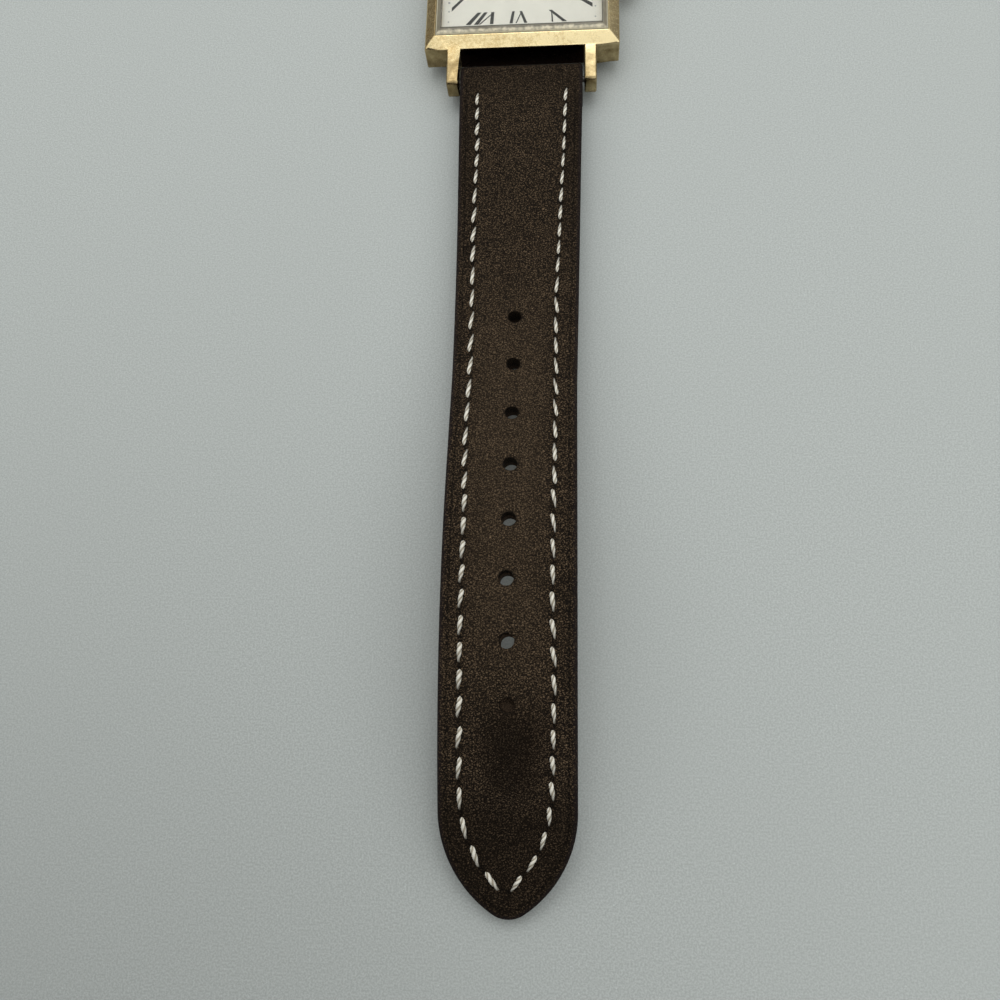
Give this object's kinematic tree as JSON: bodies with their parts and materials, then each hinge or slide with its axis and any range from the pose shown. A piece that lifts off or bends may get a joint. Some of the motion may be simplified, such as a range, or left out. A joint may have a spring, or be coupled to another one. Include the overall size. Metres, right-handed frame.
{
  "type": "square wristwatch",
  "caption": "Square dress wristwatch with a bevelled gold-plated case, faceted crystal, Roman numeral dial, quartz movement, padded stitched leather strap and pin buckle.",
  "frame": {"origin": "centre of the case back's flat underside, on which the watch lies", "axes": "+X to 3 o'clock and the crown, +Y to 12 o'clock and the buckle, +Z out through the crystal"},
  "size_m": [0.0309, 0.2287, 0.0111],
  "materials": {
    "gold_plating": "polished pale gold plating with fine wear scratches",
    "brushed_steel_back": "plain brushed steel",
    "polished_steel": "plain bright steel",
    "bar_steel": "plain drawn steel",
    "soft_iron": "dull soft iron",
    "mineral_crystal": "clear mineral glass with a polished facet",
    "clear_gasket": "translucent nylon",
    "gasket_rubber": "plain rubber",
    "silvered_dial": "fine silvered lacquer",
    "black_print": "printed enamel",
    "grey_print": "printed enamel",
    "white_plastic": "moulded plastic",
    "plated_brass": "nickel-plated brass",
    "gear_brass": "plain cut brass",
    "copper_winding": "enamelled copper wire",
    "green_board": "circuit board",
    "black_resin": "moulded resin",
    "strap_leather": "grained, worn dark brown leather",
    "lining_leather": "plain split leather",
    "padding_felt": "pressed felt",
    "strap_thread": "twisted thread"
  },
  "bodies": {
    "case": {"case_middle": "gold_plating", "case_back": "brushed_steel_back", "case_back_gasket": "gasket_rubber", "crystal": "mineral_crystal", "crystal_gasket": "clear_gasket", "dial": "silvered_dial", "hour_numerals": "black_print", "minute_dots": "grey_print", "movement_holder": "white_plastic", "main_plate": "plated_brass", "train_bridge": "plated_brass", "movement_screws": "polished_steel", "circuit_board": "green_board", "integrated_circuit": "black_resin", "quartz_can": "polished_steel", "drive_coil": "copper_winding", "coil_core": "soft_iron", "stator": "soft_iron", "battery": "polished_steel", "battery_clamp": "polished_steel", "crown_tube": "gear_brass", "bar_6_tube": "bar_steel", "bar_6_spring": "bar_steel", "bar_12_tube": "bar_steel", "bar_12_spring": "bar_steel"},
    "minute_arbor": {"centre_wheel": "gear_brass", "cannon_pinion": "gear_brass", "minute_hand": "gold_plating"},
    "hour_arbor": {"hour_wheel": "gear_brass", "hour_hand": "gold_plating"},
    "minute_gear": {"minute_wheel": "gear_brass"},
    "third_gear": {"third_wheel": "gear_brass"},
    "intermediate_gear": {"intermediate_wheel": "gear_brass"},
    "motor_rotor": {"rotor": "black_resin"},
    "setting_clutch": {"setting_pinion": "polished_steel"},
    "crown_stem": {"crown": "gold_plating", "winding_stem": "polished_steel", "crown_gasket": "gasket_rubber"},
    "lever": {"setting_lever": "polished_steel"},
    "strap_long": {"long_strap_top": "strap_leather", "long_strap_padding": "padding_felt", "long_strap_lining": "lining_leather", "long_strap_stitching": "strap_thread"},
    "strap_short": {"short_strap_top": "strap_leather", "short_strap_padding": "padding_felt", "short_strap_lining": "lining_leather", "short_strap_stitching": "strap_thread", "fixed_keeper": "strap_leather"},
    "sliding_keeper": {"free_keeper": "strap_leather"},
    "buckle": {"buckle_frame": "gold_plating", "buckle_bar_tube": "bar_steel", "buckle_bar_spring": "bar_steel"},
    "tang": {"buckle_tang": "gold_plating"},
    "bar_6_left": {"bar_6_tip_left": "bar_steel"},
    "bar_6_right": {"bar_6_tip_right": "bar_steel"},
    "bar_12_left": {"bar_12_tip_left": "bar_steel"},
    "bar_12_right": {"bar_12_tip_right": "bar_steel"},
    "buckle_bar_left": {"buckle_bar_tip_left": "bar_steel"},
    "buckle_bar_right": {"buckle_bar_tip_right": "bar_steel"}
  },
  "joints": [
    {"name": "minute_turn", "type": "hinge", "parent": "case", "child": "minute_arbor", "pos_m": [0, 0, 0.00617], "axis": [0, 0, -1], "continuous": true},
    {"name": "hour_turn", "type": "hinge", "parent": "case", "child": "hour_arbor", "pos_m": [0, 0, 0.00593], "axis": [0, 0, -1], "continuous": true},
    {"name": "minute_wheel_turn", "type": "hinge", "parent": "case", "child": "minute_gear", "pos_m": [0.0022, 0, 0.0043], "axis": [0, 0, -1], "continuous": true},
    {"name": "third_wheel_turn", "type": "hinge", "parent": "case", "child": "third_gear", "pos_m": [0.00193, 0.0023, 0.0043], "axis": [0, 0, -1], "continuous": true},
    {"name": "intermediate_wheel_turn", "type": "hinge", "parent": "case", "child": "intermediate_gear", "pos_m": [-0.00091, 0.0028, 0.0043], "axis": [0, 0, -1], "continuous": true},
    {"name": "rotor_turn", "type": "hinge", "parent": "case", "child": "motor_rotor", "pos_m": [-0.00361, 0.00207, 0.0043], "axis": [0, 0, -1], "continuous": true},
    {"name": "crown_turn", "type": "hinge", "parent": "case", "child": "setting_clutch", "pos_m": [0.0086, 0, 0.0041], "axis": [1, 0, 0], "continuous": true},
    {"name": "crown_pull", "type": "slide", "parent": "setting_clutch", "child": "crown_stem", "axis": [1, 0, 0], "range_m": [0, 0.001]},
    {"name": "lever_swing", "type": "hinge", "parent": "case", "child": "lever", "pos_m": [0.0077, -0.0026, 0.0041], "axis": [0, 0, 1], "range_deg": [-23, 0]},
    {"name": "long_strap_swing", "type": "hinge", "parent": "case", "child": "strap_long", "pos_m": [0, -0.0179, 0.00327], "axis": [-1, 0, 0], "range_deg": [-85, 60]},
    {"name": "short_strap_swing", "type": "hinge", "parent": "case", "child": "strap_short", "pos_m": [0, 0.0179, 0.00327], "axis": [1, 0, 0], "range_deg": [-85, 60]},
    {"name": "keeper_slide", "type": "slide", "parent": "strap_short", "child": "sliding_keeper", "axis": [0, 0.9871, -0.1599], "range_m": [-0.005, 0.006]},
    {"name": "buckle_swing", "type": "hinge", "parent": "strap_short", "child": "buckle", "pos_m": [0, 0.08908, 0.00158], "axis": [1, 0, 0], "range_deg": [-60, 45]},
    {"name": "tang_swing", "type": "hinge", "parent": "buckle", "child": "tang", "pos_m": [0, 0.08908, 0.00158], "axis": [1, 0, 0], "range_deg": [0, 60]},
    {"name": "bar_6_left_press", "type": "slide", "parent": "case", "child": "bar_6_left", "axis": [1, 0, 0], "range_m": [0, 0.0009], "stiffness_N_per_m": 800, "springref_m": -0.001, "deforming": ["bar_6_spring"]},
    {"name": "bar_6_right_press", "type": "slide", "parent": "case", "child": "bar_6_right", "axis": [-1, 0, 0], "range_m": [0, 0.0009], "stiffness_N_per_m": 800, "springref_m": -0.001},
    {"name": "bar_12_left_press", "type": "slide", "parent": "case", "child": "bar_12_left", "axis": [1, 0, 0], "range_m": [0, 0.0009], "stiffness_N_per_m": 800, "springref_m": -0.001, "deforming": ["bar_12_spring"]},
    {"name": "bar_12_right_press", "type": "slide", "parent": "case", "child": "bar_12_right", "axis": [-1, 0, 0], "range_m": [0, 0.0009], "stiffness_N_per_m": 800, "springref_m": -0.001},
    {"name": "buckle_bar_left_press", "type": "slide", "parent": "buckle", "child": "buckle_bar_left", "axis": [1, 0, 0], "range_m": [0, 0.0009], "stiffness_N_per_m": 800, "springref_m": -0.001, "deforming": ["buckle_bar_spring"]},
    {"name": "buckle_bar_right_press", "type": "slide", "parent": "buckle", "child": "buckle_bar_right", "axis": [-1, 0, 0], "range_m": [0, 0.0009], "stiffness_N_per_m": 800, "springref_m": -0.001}
  ],
  "couplings": [
    {"joint": "hour_turn", "follows": "minute_turn", "ratio": 0.083333},
    {"joint": "minute_wheel_turn", "follows": "minute_turn", "ratio": -0.33333},
    {"joint": "third_wheel_turn", "follows": "minute_turn", "ratio": -3},
    {"joint": "intermediate_wheel_turn", "follows": "minute_turn", "ratio": 15},
    {"joint": "rotor_turn", "follows": "minute_turn", "ratio": -90},
    {"joint": "lever_swing", "follows": "crown_pull", "rad_per_m": -387.03}
  ]
}
